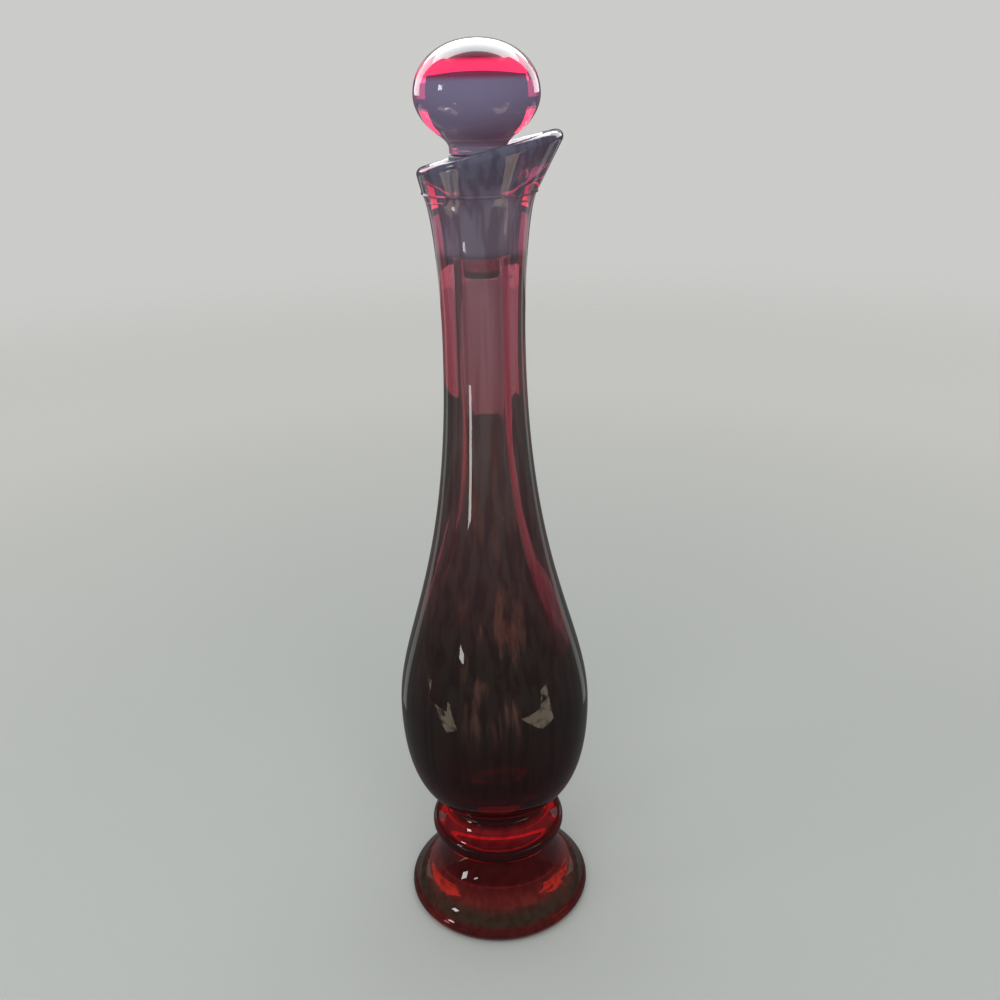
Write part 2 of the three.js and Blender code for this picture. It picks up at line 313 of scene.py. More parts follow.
def lip_outline(turn):
    """Seam and lip, then the funnel inside, where the upright half plane at one turn cuts them."""
    side = math.cos(turn - math.radians(LIP_HIGH_SIDE_TURN))
    high_flare = math.radians(LIP_HIGH_FLARE_ANGLE)
    low_flare = math.radians(LIP_LOW_FLARE_ANGLE)
    flare = low_flare + (high_flare - low_flare) * (1 + side) / 2
    slant = math.tan(math.radians(LIP_SLANT_ANGLE)) * side
    reach = seam_radius + LIP_ABOVE_SEAM * math.tan(flare) - LIP_ROLL_RADIUS / math.cos(flare)
    roll_radius = reach / (1 - slant * math.tan(flare))
    roll_centre = point(roll_radius, lip_height + slant * roll_radius)
    mouth = seat(bore_top_height)
    across = roll_centre - mouth
    funnel_lean = math.atan2(across.x, across.y) - math.asin(LIP_ROLL_RADIUS / across.length)
    start_angle = -math.degrees(flare)
    end_angle = 180 - math.degrees(funnel_lean)
    half_width = SEAM_RIDGE_WIDTH / 2
    ridge = point(seam_radius + SEAM_RIDGE, seam_height)
    above = point(seam_radius + half_width * math.tan(flare), seam_height + half_width)
    roll_start = on_circle(roll_centre, LIP_ROLL_RADIUS, start_angle)
    roll = arc(roll_centre, LIP_ROLL_RADIUS, start_angle, end_angle, CURVE_STEPS)
    mouth_edge = corner(roll[-1], mouth, seat(sleeve_bottom_height), MOUTH_EASE)
    outside = [ridge, above] + line(above, roll_start, FINE_STEPS) + roll
    funnel = line(roll[-1], mouth_edge[0], FINE_STEPS) + mouth_edge[1:]
    return outside, funnel


def lobe(turn, height):
    """Share by which the hollow is wider or narrower at a place of its wall, 0 above the shank's tip."""
    fade = min(1, max(0, (shank_tip_height - height) / LOBE_FADE_BELOW_SHANK))
    length = shank_tip_height - floor_height
    share = 0
    for count, depth, start, twist in LOBES:
        share += depth * math.sin(count * turn + start + twist * 2 * math.pi * height / length)
    return share * fade * fade * (3 - 2 * fade)


def cavity_outline(turn):
    bore_top = seat(bore_top_height - MOUTH_EASE)
    seat_end = seat(sleeve_bottom_height)
    bore_end = point(seat_end.x, bore_bottom_height)
    bore_handle = point(seat_end.x, bore_bottom_height - CAVITY_SHOULDER_REACH)
    radius = BULB_RADIUS - BULB_WALL
    widest = point(radius, bulb_height)
    upper_handle = point(radius, bulb_height + CAVITY_UPPER_FULLNESS)
    lower_handle = point(radius, bulb_height - CAVITY_LOWER_FULLNESS)
    floor_handle = point(FLOOR_FLATNESS, floor_height)
    floor = point(0, floor_height)
    bore = line(bore_top, seat_end, CURVE_STEPS) + line(seat_end, bore_end, CURVE_STEPS)
    upper = sweep(bore_end, bore_handle, upper_handle, widest, LONG_CURVE_STEPS)
    lower = sweep(widest, lower_handle, floor_handle, floor, LONG_CURVE_STEPS)
    return [point(p.x * (1 + lobe(turn, p.y)), p.y) for p in bore + upper + lower]


bottle_outside = recess_outline() + foot_outline() + knop_outline() + bulb_outline() + neck_outline()


def bottle_outline(turn):
    lip, funnel = lip_outline(turn)
    return bottle_outside + lip + funnel + cavity_outline(turn)


bottle_skin_rows = (len(recess_outline()), len(bottle_outside + lip_outline(0)[0]))


def on_ball(angle):
    """Point of the flattened ball at an angle in degrees above its widest place."""
    half_height = BALL_UPPER_HALF_HEIGHT if angle > 0 else BALL_LOWER_HALF_HEIGHT
    power = 2 / (BALL_UPPER_FULLNESS if angle > 0 else BALL_LOWER_FULLNESS)
    turn = math.radians(angle)
    rise = math.copysign(abs(math.sin(turn)) ** power, angle)
    return point(BALL_RADIUS * math.cos(turn) ** power, ball_height + half_height * rise)


def ball_outline():
    span = 90 + BALL_BLEND_ANGLE
    points = [on_ball(span * step / LONG_CURVE_STEPS - BALL_BLEND_ANGLE) for step in range(LONG_CURVE_STEPS)]
    return points + [point(0, ball_height + BALL_UPPER_HALF_HEIGHT)]


def stopper_outline(turn):
    """Outline of the stopper from the shank's tip to the crown, the same at every turn."""
    tip_centre = point(shank_radius - SHANK_TIP_ROUNDING, shank_tip_height + SHANK_TIP_ROUNDING)
    tip = [point(0, shank_tip_height), point(tip_centre.x, shank_tip_height)]
    neck = point(STOPPER_NECK_RADIUS, shoulder_height + STOPPER_NECK_HEIGHT)
    ball = ball_outline()
    under_ball = point(STOPPER_NECK_RADIUS, (neck.y + ball[0].y) / 2)
    shank_top = point(shank_radius, shoulder_height)
    shoulder = corner(shank_top, point(STOPPER_NECK_RADIUS, shoulder_height), neck, SHOULDER_EASE)
    rounding = arc(tip_centre, SHANK_TIP_ROUNDING, -90, 0, FINE_STEPS)
    shank = line(rounding[-1], shank_top, CURVE_STEPS)
    blend = bend(neck, under_ball, ball[0], ROLL_STEPS)
    return tip + rounding + shank + shoulder + [neck] + blend + ball[1:]


def sleeve_outline(turn):
    """Outline of the sleeve, which closes on itself and is the same at every turn."""
    chamfer_top = sleeve_bottom_height + SLEEVE_CHAMFER
    flange_radius = sleeve_radius(flange_bottom_height) + FLANGE_OVERHANG
    inside_bottom = point(sleeve_bore, sleeve_bottom_height)
    outside_bottom = point(sleeve_radius(sleeve_bottom_height) - SLEEVE_CHAMFER, sleeve_bottom_height)
    chamfer = point(sleeve_radius(chamfer_top), chamfer_top)
    under_flange = point(sleeve_radius(flange_bottom_height), flange_bottom_height)
    flange_low = point(flange_radius, flange_bottom_height)
    flange_high = point(flange_radius, flange_top_height)
    inside_top = point(sleeve_bore, flange_top_height)
    rim = corner(under_flange, flange_low, flange_high, FLANGE_EASE)
    rim += corner(flange_low, flange_high, inside_top, FLANGE_EASE)
    outside = line(chamfer, under_flange, ROLL_STEPS)
    bore = line(inside_top, inside_bottom, ROLL_STEPS)[:-1]
    return [inside_bottom, outside_bottom, chamfer] + outside + rim + [inside_top] + bore


def turned(name, outline_at, segments, skin_rows=None):
    """Closed solid about the upright axis, whose outline may change with the turn.

    The rows of the outline outside skin_rows lie under the foot or inside the hollow.
    """
    body = bmesh.new()
    inside = body.verts.layers.float.new(INSIDE_MASK)
    on_axis = {}
    columns = []
    for column in range(segments):
        turn = 2 * math.pi * column / segments
        verts = []
        for row, place in enumerate(outline_at(turn)):
            if place.x == 0 and row in on_axis:
                verts.append(on_axis[row])
                continue
            spot = (place.x * math.cos(turn), place.x * math.sin(turn), place.y)
            vert = body.verts.new([length * MM for length in spot])
            vert[inside] = 1 if skin_rows and not skin_rows[0] <= row < skin_rows[1] else 0
            if place.x == 0:
                on_axis[row] = vert
            verts.append(vert)
        columns.append(verts)
    rows = len(columns[0])
    closed = not on_axis
    for column, verts in enumerate(columns):
        beside = columns[(column + 1) % segments]
        for row in range(rows if closed else rows - 1):
            above = (row + 1) % rows
            corners = [verts[row], beside[row], beside[above], verts[above]]
            body.faces.new(list(dict.fromkeys(corners)))
    bmesh.ops.recalc_face_normals(body, faces=body.faces)
    for face in body.faces:
        face.smooth = True
    for edge in body.edges:
        edge.smooth = edge.calc_face_angle() < SHARP_ANGLE
    mesh = bpy.data.meshes.new(name)
    body.to_mesh(mesh)
    body.free()
    piece = bpy.data.objects.new(name, mesh)
    bpy.context.scene.collection.objects.link(piece)
    return piece


class Value:
    """A socket that Python's operators take as a number. Each operator adds a Math node."""

    def __init__(self, nodes, socket):
        self.nodes = nodes
        self.socket = socket

    def math(self, operation, *operands):
        return self.nodes.add("ShaderNodeMath", {"operation": operation}, dict(enumerate(operands)))

    def __add__(self, other):
        return self.math("ADD", self, other)

    def __radd__(self, other):
        return self.math("ADD", other, self)

    def __sub__(self, other):
        return self.math("SUBTRACT", self, other)

    def __rsub__(self, other):
        return self.math("SUBTRACT", other, self)

    def __mul__(self, other):
        return self.math("MULTIPLY", self, other)

    def __rmul__(self, other):
        return self.math("MULTIPLY", other, self)

    def __truediv__(self, other):
        return self.math("DIVIDE", self, other)

    def __rtruediv__(self, other):
        return self.math("DIVIDE", other, self)

    def eased_between(self, low, high):
        """0 below one value, 1 above another, with a soft change between."""
        settings = {"interpolation_type": "SMOOTHSTEP"}
        sockets = {"Value": self, "From Min": low, "From Max": high}
        return self.nodes.add("ShaderNodeMapRange", settings, sockets)


# Sockets of a Mix node that mixes colours
MIX_FACTOR = 0
MIX_FIRST = 6
MIX_SECOND = 7
MIX_RESULT = 2


class Nodes:
    """The node tree of a material or of the world."""

    def __init__(self, owner):
        owner.use_nodes = True
        self.tree = owner.node_tree
        self.tree.nodes.clear()

    def add(self, kind, settings=None, sockets=None, output=0):
        """Adds a node with its settings, then the values or links of its sockets, and gives an output."""
        node = self.tree.nodes.new(kind)
        for name, setting in (settings or {}).items():
            if name == "stops":
                self.set_stops(node.color_ramp, setting)
            else:
                setattr(node, name, setting)
        for name, value in (sockets or {}).items():
            if isinstance(value, Value):
                self.tree.links.new(value.socket, node.inputs[name])
            else:
                node.inputs[name].default_value = value
        return Value(self, node.outputs[output]) if node.outputs else None

    def set_stops(self, ramp, stops):
        for extra in list(ramp.elements)[1:]:
            ramp.elements.remove(extra)
        ramp.elements[0].position, ramp.elements[0].color = stops[0]
        for position, colour in stops[1:]:
            ramp.elements.new(position).color = colour

    def place(self):
        """Place on the piece, which goes with the piece as it moves."""
        return self.add("ShaderNodeTexCoord", output="Object")

    def axis(self, vector, name):
        return self.add("ShaderNodeSeparateXYZ", sockets={0: vector}, output=name)

    def scaled(self, vector, factors):
        return self.add("ShaderNodeVectorMath", {"operation": "MULTIPLY"}, {0: vector, 1: factors})

    def shifted(self, vector, step):
        return self.add("ShaderNodeVectorMath", {"operation": "ADD"}, {0: vector, 1: step})

    def noise(self, vector, scale, detail, roughness=0.5):
        sockets = {"Vector": vector, "Scale": scale, "Detail": detail, "Roughness": roughness}
        return self.add("ShaderNodeTexNoise", sockets=sockets)

    def ramp(self, value, stops):
        return self.add("ShaderNodeValToRGB", {"stops": stops}, {0: value})

    def blended(self, factor, first, second, blend_type="MIX"):
        settings = {"data_type": "RGBA", "blend_type": blend_type}
        sockets = {MIX_FACTOR: factor, MIX_FIRST: first, MIX_SECOND: second}
        return self.add("ShaderNodeMix", settings, sockets, MIX_RESULT)

    def tinted(self, first, second):
        return self.blended(1.0, first, second, "MULTIPLY")

    def mixed_shader(self, factor, first, second):
        return self.add("ShaderNodeMixShader", sockets={0: factor, 1: first, 2: second})

    def bump(self, height, distance, normal=None):
        sockets = {"Height": height, "Distance": distance, "Strength": 1.0}
        if normal is not None:
            sockets["Normal"] = normal
        return self.add("ShaderNodeBump", sockets=sockets)


# Glass
GLASS_IOR = 1.52
RUBY_ABSORPTION = (0.914, 0.071, 0.286, 1)
RUBY_DENSITY = 140
BOTTLE_CLEARNESS = 0.70
STOPPER_CLEARNESS = 0.77
GLINT = 0.45
POLISH = 0.006
SMUDGE = 0.03
INSIDE_RUBY = (0.97, 0.92, 0.93, 1)
DRAW_LINE_DEPTH = 0.00003
RIPPLE_DEPTH = 0.00008
STRIA_SHADE = (0.74, 0.66, 0.68, 1)

# Noise in the glass: patches a metre, detail and, where it isn't the usual one, roughness.
# Stretch draws it out along the height, and edges are the values between which it sets in.
SMUDGE_NOISE = (55, 4, 0.6)
SMUDGE_EDGES = (0.52, 0.72)
DRAW_LINE_NOISE = (160, 2)
DRAW_LINE_STRETCH = (1, 1, 0.12)
RIPPLE_NOISE = (70, 1)
STRIA_NOISE = (520, 3)
STRIA_STRETCH = (1, 1, 0.02)
STRIA_EDGES = (0.42, 0.60)

# Brown streaks in the bulb. They rise and fade between heights above its widest place, in millimetres,
# and lie near the middle, seen from the front.
FLAME_BROWN = (0.20, 0.105, 0.08, 1)
FLAME_NOISE = (300, 3, 0.55)
FLAME_SHIFT = (0.01, 0.02, 0.0)
FLAME_STRETCH = (1, 1, 0.045)
FLAME_EDGES = (0.48, 0.66)
FLAME_RISE = (-2, 14)
FLAME_FADE = (55, 100)
FLAME_HALF_WIDTH = 0.010
FLAME_SIDE_EDGES = (0.2, 1.0)

# Tint of the bottle's skin at heights above the table, in millimetres. Part of it is the glass's own ruby
# tint,
# the rest is painted light: painted glows on the foot's slope, the knop's upper side and the bottom of the
# bulb, painted shade under the knop, on the collar and in the bulb, a dark olive painted reflection on the
# foot's band, and a bluish painted haze where the sleeve sits in the neck and round the lip.
BOTTLE_TINTS_AND_PAINTED_LIGHT = (
    (0, (0.15, 0.026, 0.023, 1)),
    (4.1, (0.15, 0.026, 0.023, 1)),
    # Dark olive painted reflection on the foot's band
    (4.7, (0.072, 0.060, 0.040, 1)),
    (7.0, (0.072, 0.060, 0.040, 1)),
    # Painted glow on the foot's slope, fading upwards
    (7.8, (0.30, 0.050, 0.042, 1)),
    (10.5, (0.19, 0.028, 0.026, 1)),
    (13, (0.085, 0.010, 0.011, 1)),
    (17, (0.11, 0.011, 0.013, 1)),
    # Painted shade in the groove under the knop and on its lower side
    (19, (0.030, 0.006, 0.006, 1)),
    (25.4, (0.050, 0.007, 0.008, 1)),
    # Painted glow on the knop's upper side
    (26.2, (0.12, 0.010, 0.012, 1)),
    (27.3, (0.42, 0.022, 0.028, 1)),
    (28.9, (0.42, 0.025, 0.030, 1)),
    # Painted shade on the collar and under the bulb
    (30.3, (0.045, 0.007, 0.008, 1)),
    (37, (0.018, 0.003, 0.003, 1)),
    # Painted red glow at the bottom of the bulb
    (39.5, (0.055, 0.005, 0.008, 1)),
    (44, (0.055, 0.006, 0.009, 1)),
    # Dark brownish bulb and lower neck: partly the deep ruby, partly painted shade
    (50, (0.034, 0.009, 0.010, 1)),
    (67, (0.028, 0.024, 0.020, 1)),
    (88, (0.048, 0.043, 0.036, 1)),
    (103, (0.086, 0.060, 0.060, 1)),
    (126, (0.125, 0.112, 0.109, 1)),
    (139, (0.16, 0.155, 0.147, 1)),
    (152, (0.16, 0.150, 0.147, 1)),
    (183.5, (0.17, 0.18, 0.19, 1)),
    # Bluish painted haze where the sleeve sits in the neck, and round the lip
    (185.5, (0.40, 0.37, 0.48, 1)),
    (196, (0.40, 0.38, 0.50, 1)),
    (199, (0.28, 0.30, 0.42, 1)),
    (207, (0.25, 0.29, 0.42, 1)),
)

# Tint of the stopper's skin at heights above the table, in millimetres. The shank keeps a pale ruby tint.
# On the neck and ball the bluish tint is painted haze, the red band round the ball above its widest place
# is a painted band of light, and the dark crown above it is painted shade.
STOPPER_TINTS_AND_PAINTED_LIGHT = (
    (0, (0.90, 0.70, 0.80, 1)),
    (199, (0.90, 0.70, 0.80, 1)),
    # Bluish painted haze on the stopper's neck and ball
    (204, (0.55, 0.80, 1.0, 1)),
    (212, (0.57, 0.60, 0.97, 1)),
    (220.4, (0.55, 0.56, 0.92, 1)),
    # Red painted band of light round the ball
    (221.4, (0.62, 0.12, 0.30, 1)),
    (224.2, (0.62, 0.12, 0.30, 1)),
    # Dark painted shade on the ball's crown
    (224.9, (0.02, 0.03, 0.045, 1)),
)


def above_bulb(steps):
    """Heights in metres of steps in millimetres above the bulb's widest place."""
    return [(bulb_height + step) * MM for step in steps]


def flames(nodes, place, height):
    """Wavering brown streaks that rise from the belly of the bulb into its shoulder, front and back."""
    stretched = nodes.scaled(nodes.shifted(place, FLAME_SHIFT), FLAME_STRETCH)
    tongues = nodes.noise(stretched, *FLAME_NOISE)
    rising = height.eased_between(*above_bulb(FLAME_RISE))
    fading = 1 - height.eased_between(*above_bulb(FLAME_FADE))
    sideways = nodes.axis(place, "X") / FLAME_HALF_WIDTH
    middle = 1 - (sideways * sideways).eased_between(*FLAME_SIDE_EDGES)
    return tongues.eased_between(*FLAME_EDGES) * rising * fading * middle


def glass(name, tint_and_light_stops, clearness, drawn=False):
    """Ruby glass whose skin colour follows the height: its own tint and the painted light held in its table.
    Drawn glass has brown streaks and fine striae.
    """
    material = bpy.data.materials.new(name)
    nodes = Nodes(material)
    place = nodes.place()
    height = nodes.axis(place, "Z")
    top = tint_and_light_stops[-1][0]
    # Colour by height: the glass's own tint, with its painted glows, shade, reflection, haze and band of
    # light
    tint = nodes.ramp(height / (top * MM), [(level / top, colour) for level, colour in tint_and_light_stops])
    if drawn:
        tint = nodes.blended(flames(nodes, place, height), tint, FLAME_BROWN)
        stretched = nodes.scaled(place, STRIA_STRETCH)
        striae = nodes.noise(stretched, *STRIA_NOISE).eased_between(*STRIA_EDGES)
        tint = nodes.blended(striae, tint, nodes.tinted(tint, STRIA_SHADE))
    inside = nodes.add("ShaderNodeAttribute", {"attribute_name": INSIDE_MASK}, output="Fac")
    smudges = nodes.noise(place, *SMUDGE_NOISE).eased_between(*SMUDGE_EDGES)
    draw_lines = nodes.noise(nodes.scaled(place, DRAW_LINE_STRETCH), *DRAW_LINE_NOISE)
    ripple = nodes.noise(place, *RIPPLE_NOISE)
    normal = nodes.bump(ripple, RIPPLE_DEPTH, nodes.bump(draw_lines, DRAW_LINE_DEPTH))
    surface = nodes.add("ShaderNodeBsdfPrincipled", sockets={
        "Base Color": nodes.blended(inside, tint, INSIDE_RUBY),
        "Roughness": POLISH + smudges * SMUDGE,
        "IOR": GLASS_IOR,
        "Specular IOR Level": GLINT,
        "Transmission Weight": clearness,
        "Normal": normal,
    })
    colour_and_density = {"Color": RUBY_ABSORPTION, "Density": RUBY_DENSITY}
    depth = nodes.add("ShaderNodeVolumeAbsorption", sockets=colour_and_density)
    nodes.add("ShaderNodeOutputMaterial", sockets={"Surface": surface, "Volume": depth})
    return material


def bottle_glass():
    return glass("ruby_bottle_glass", BOTTLE_TINTS_AND_PAINTED_LIGHT, BOTTLE_CLEARNESS, drawn=True)


def stopper_glass():
    return glass("ruby_stopper_glass", STOPPER_TINTS_AND_PAINTED_LIGHT, STOPPER_CLEARNESS)


# Plastic of the sleeve
PLASTIC_IOR = 1.5
PLASTIC_CLEARNESS = 0.5
PLASTIC_ROUGHNESS = 0.28
DARK_PLASTIC = (0.24, 0.26, 0.34, 1)
LIGHT_PLASTIC = (0.32, 0.34, 0.44, 1)
MOTTLE_NOISE = (400, 3)
MOTTLE_ROUGHNESS = 0.12
MOTTLE_DEPTH = 0.00003


def smoky_plastic():
    """Moulded plastic that lets some light through, with a slightly mottled skin."""
    material = bpy.data.materials.new("smoky_sleeve_plastic")
    nodes = Nodes(material)
    place = nodes.place()
    mottle = nodes.noise(place, *MOTTLE_NOISE)
    colour = nodes.blended(mottle, DARK_PLASTIC, LIGHT_PLASTIC)
    surface = nodes.add("ShaderNodeBsdfPrincipled", sockets={
        "Base Color": colour,
        "Roughness": PLASTIC_ROUGHNESS + mottle * MOTTLE_ROUGHNESS,
        "IOR": PLASTIC_IOR,
        "Transmission Weight": PLASTIC_CLEARNESS,
        "Normal": nodes.bump(mottle, MOTTLE_DEPTH),
    })
    nodes.add("ShaderNodeOutputMaterial", sockets={"Surface": surface})
    return material


def finished(piece, material, body, node):
    """Gives a piece its material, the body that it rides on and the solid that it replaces."""
    piece.data.materials.append(material)
    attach(piece, body)
    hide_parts(node)


def make_vase():
    bottle = turned("ruby_bottle", bottle_outline, BOTTLE_SEGMENTS, bottle_skin_rows)
    finished(bottle, bottle_glass(), "bottle", "bottle")
    stopper = turned("ruby_ball_stopper", stopper_outline, STOPPER_SEGMENTS)
    finished(stopper, stopper_glass(), "stopper", "stopper")
    sleeve = turned("smoky_sleeve", sleeve_outline, SLEEVE_SEGMENTS)
    finished(sleeve, smoky_plastic(), "sleeve", "stopper_sleeve")


# Floor and background, in metres
FLOOR_RADIUS = 3.2
FLOOR_SEGMENTS = 96
FLOOR_GAP = 0.00008
FLOOR_NEAR_REACH = 0.12
FLOOR_FAR_REACH = 0.6
FLOOR_FADE_START = 0.35
FLOOR_FADE_END = 1.1
NEAR_FLOOR = (0.44, 0.46, 0.445, 1)
PALE_GREY = (0.60, 0.60, 0.585, 1)

# Strips round the vase, which the glass mirrors or which show through it, in metres
REFLECTED = {"in_reflections": True}
BEHIND = {"through_glass": True}
SIDES = (("left", -1), ("right", 1))
RING_STEPS = 40
CARD_GREY = (0.05, 0.05, 0.055, 1)
CARD_ROUGHNESS = 0.9
GRAIN_DETAIL = 4
GRAIN_ROUGHNESS = 0.6
GRAIN_EDGES = (0.36, 0.54)

# Straight dark cards
ROOM_HALF_WIDTH = 1.2
ROOM_FRONT = -0.9
ROOM_HEIGHT = 1.1
SIDE_CARD_DISTANCE = 0.55
SIDE_CARD_BACK = 0.37
BACK_WALL = 0.5
LOW_CARD_HALF_WIDTH = 0.38
LOW_CARD_BOTTOM = 0.135
UPPER_CARD_HALF_WIDTH = 0.9
UPPER_CARD_BOTTOM = 0.235
UPPER_CARD_TOP = 0.75

# Standing strips: radius, bottom, top, first turn and last turn.
# Turns are in degrees from straight behind the vase, to the right. A pair stands left and right.
BACKDROP_RADIUS = 0.4
SILL_TOP = 0.150
WINDOW_BAR = 0.30
BACK_CARD = (1.0, 0, 0.35, -60, 60)
BULB_SIDE_CARD = (0.12, 0.046, 0.080, -128, -104)
MIDDLE_CARD = (0.18, 0.172, 0.31, -37, 37)
MIDDLE_SIDE_CARD = (0.18, 0.223, 0.247, -62, 62)
BRIGHT_SILL = (BACKDROP_RADIUS, 0, SILL_TOP, -42, 54)
UPPER_SILL = (0.399, 0.128, SILL_TOP, -42, 54)
CRIMSON_SILL = (BACKDROP_RADIUS, 0, SILL_TOP, 54, 80)
FOOT_HIGHLIGHT = (0.25, 0.040, 0.058, -121, -113)
WINDOW_SHEEN_PAIR = (0.16, 0.217, 0.34, 34, 60)
HIGH_WINDOW_PAIR = (BACKDROP_RADIUS, WINDOW_BAR, 0.50, 37, 58)
LOW_WINDOW_PAIR = (BACKDROP_RADIUS, SILL_TOP, WINDOW_BAR, 38, 58)

# Lying strips: near edge, far edge, level, first turn and last turn. No two of one level overlap.
TABLE_LEVEL = 0.001
TABLE_CARD_EDGE = 0.036
FOOT_CARD_EDGE = 0.0262
LIP_GLOW_LEVEL = 0.0018
WARM_PATCH_LEVEL = 0.002
BACK_TABLE_CARD = (TABLE_CARD_EDGE, 0.8, TABLE_LEVEL, -44, 44)
SIDE_TABLE_CARD_PAIR = (TABLE_CARD_EDGE, 1.0, TABLE_LEVEL, 56, 180)
FOOT_CARD = (FOOT_CARD_EDGE, 0.12, 0.0012, 0, 360)
FOOT_SHADE_CARD = (FOOT_CARD_EDGE, 0.15, 0.0013, 0, 360)
FAR_TABLE_CARD = (0.15, 0.395, 0.0015, -70, 70)
CAUSTIC_PAIR = (0.010, 0.0165, 0.0003, 68, 114)
SIDE_LIP_GLOW = (0.20, 0.60, LIP_GLOW_LEVEL, -98, -66)
FRONT_LIP_GLOW = (0.22, 0.36, LIP_GLOW_LEVEL, -178, -160)

# Corners of the warm patches on the table: turn and fall in degrees, as the belly of the bulb sees them
LEFT_WARM_PATCH = ([(-92, 9), (-108, 8), (-128, 10)], [(-112, 14), (-126, 22), (-138, 19)])
RIGHT_WARM_PATCH = ([(124, 7), (128, 12), (152, 13)], [(116, 7), (113, 19), (128, 21)])

# Light of the bright strips: colour, strength and, where it is broken up, grain in patches a metre
SILL_LIGHT = ((1, 1, 0.98, 1), 4.2)
UPPER_SILL_LIGHT = ((1, 1, 0.98, 1), 6.5)
CRIMSON_SILL_LIGHT = ((1, 0.25, 0.45, 1), 4.2)
HIGHLIGHT_LIGHT = ((1, 1, 1, 1), 10.0)
SHEEN_LIGHT = ((1, 1, 1, 1), 3.4)
HIGH_WINDOW_LIGHT = ((1, 0.40, 0.45, 1), 8.5)
LOW_WINDOW_LIGHT = ((1, 0.95, 0.95, 1), 1.7)
CAUSTIC_LIGHT = ((1, 0.20, 0.06, 1), 1.3, 300)
LIP_LIGHT = ((1, 0.6, 0.55, 1), 3.0)
WARM_LIGHT = ((1, 0.85, 0.62, 1), 1.9, 14)

# Lamps: place, place that they face, width, height and brightness
OVERHEAD_WINDOW = ((0.0, 0.40, 0.90), (0, 0, 0.2), 1.4, 0.67, 0.7)
FRONT_SOFT_BOX = ((0.0, -0.9, 0.9), (0, 0, 0.12), 1.2, 1.2, 2.0)
WINDOW_SHEEN = ((0.0, 0.55, 0.85), (0, 0, 0.2), 1.6, 0.85, 7.0)
LEFT_HIGH_LAMP = ((-0.32, -0.13, 0.305), (0, 0, 0.12), 0.05, 0.06, 12.0)
LEFT_LOW_LAMP = ((-0.212, -0.235, 0.079), (0, 0, 0.10), 0.034, 0.006, 8.5)


def stage_sheet(name, body, material):
    mesh = bpy.data.meshes.new(name)
    body.to_mesh(mesh)
    body.free()
    mesh.materials.append(material)
    thing = bpy.data.objects.new(name, mesh)
    bpy.context.scene.collection.objects.link(thing)
    return thing


def make_floor():
    """Plain pale floor that fades into the background far from the vase."""
    material = bpy.data.materials.new("pale_floor_paint")
    nodes = Nodes(material)
    place = nodes.place()
    distance = nodes.add("ShaderNodeVectorMath", {"operation": "LENGTH"}, {0: place}, output="Value")
    far = distance.eased_between(FLOOR_NEAR_REACH, FLOOR_FAR_REACH)
    colour = nodes.blended(far, NEAR_FLOOR, PALE_GREY)
    paint = nodes.add("ShaderNodeBsdfDiffuse", sockets={"Color": colour})
    nothing = nodes.add("ShaderNodeBsdfTransparent")
    fade = distance.eased_between(FLOOR_FADE_START, FLOOR_FADE_END)
    surface = nodes.mixed_shader(fade, paint, nothing)
    nodes.add("ShaderNodeOutputMaterial", sockets={"Surface": surface})
    body = bmesh.new()
    bmesh.ops.create_circle(body, cap_ends=True, segments=FLOOR_SEGMENTS, radius=FLOOR_RADIUS)
    bmesh.ops.translate(body, verts=body.verts, vec=(0, 0, -FLOOR_GAP))
    stage_sheet("pale_floor", body, material)


def stage_strip(name, rows, material, in_reflections, through_glass):
    """Strip between two rows of corners, out of the picture, which shows only in the glass."""
    body = bmesh.new()
    low, high = [[body.verts.new(place) for place in row] for row in rows]
    for step in range(len(low) - 1):
        body.faces.new((low[step], low[step + 1], high[step + 1], high[step]))
    strip = stage_sheet(name, body, material)
    strip.visible_camera = False
    strip.visible_diffuse = False
    strip.visible_shadow = False
    strip.visible_glossy = in_reflections
    strip.visible_transmission = through_glass


def make_card(name, rows, in_reflections=False, through_glass=False):
    """Dark card of a glass photographer's studio."""
    material = bpy.data.materials.new(name)
    nodes = Nodes(material)
    look = {"Base Color": CARD_GREY, "Roughness": CARD_ROUGHNESS}
    paint = nodes.add("ShaderNodeBsdfPrincipled", sockets=look)
    nodes.add("ShaderNodeOutputMaterial", sockets={"Surface": paint})
    stage_strip(name, rows, material, in_reflections, through_glass)


def make_glow(name, rows, colour, strength, grain=0, in_reflections=False, through_glass=False):
    """Bright wall, window or patch of daylight. Grain, in patches a metre, breaks it up."""
    material = bpy.data.materials.new(name)
    nodes = Nodes(material)
    light = nodes.add("ShaderNodeEmission", sockets={"Color": colour, "Strength": strength})
    if grain:
        nothing = nodes.add("ShaderNodeBsdfTransparent")
        noise = nodes.noise(nodes.place(), grain, GRAIN_DETAIL, GRAIN_ROUGHNESS)
        light = nodes.mixed_shader(noise.eased_between(*GRAIN_EDGES), nothing, light)
    nodes.add("ShaderNodeOutputMaterial", sockets={"Surface": light})
    stage_strip(name, rows, material, in_reflections, through_glass)


def ring(radius, level, first_turn, last_turn):
    """Places along an arc round the vase, from one turn to another."""
    span = last_turn - first_turn
    turns = [math.radians(first_turn + span * step / RING_STEPS) for step in range(RING_STEPS + 1)]
    return [(radius * math.sin(turn), radius * math.cos(turn), level) for turn in turns]


def standing(radius, low, high, first_turn, last_turn, side=1):
    """Rows of a curved wall round the vase. Side -1 mirrors it to the left."""
    turns = (first_turn * side, last_turn * side)
    return ring(radius, low, *turns), ring(radius, high, *turns)


def lying(near, far, level, first_turn, last_turn, side=1):
    """Rows of a flat sector on the table round the vase. Side -1 mirrors it to the left."""
    turns = (first_turn * side, last_turn * side)
    return ring(near, level, *turns), ring(far, level, *turns)


def wall(start, end, low, high):
    """Rows of a straight wall between two places of the plan."""
    return [(*start, low), (*end, low)], [(*start, high), (*end, high)]


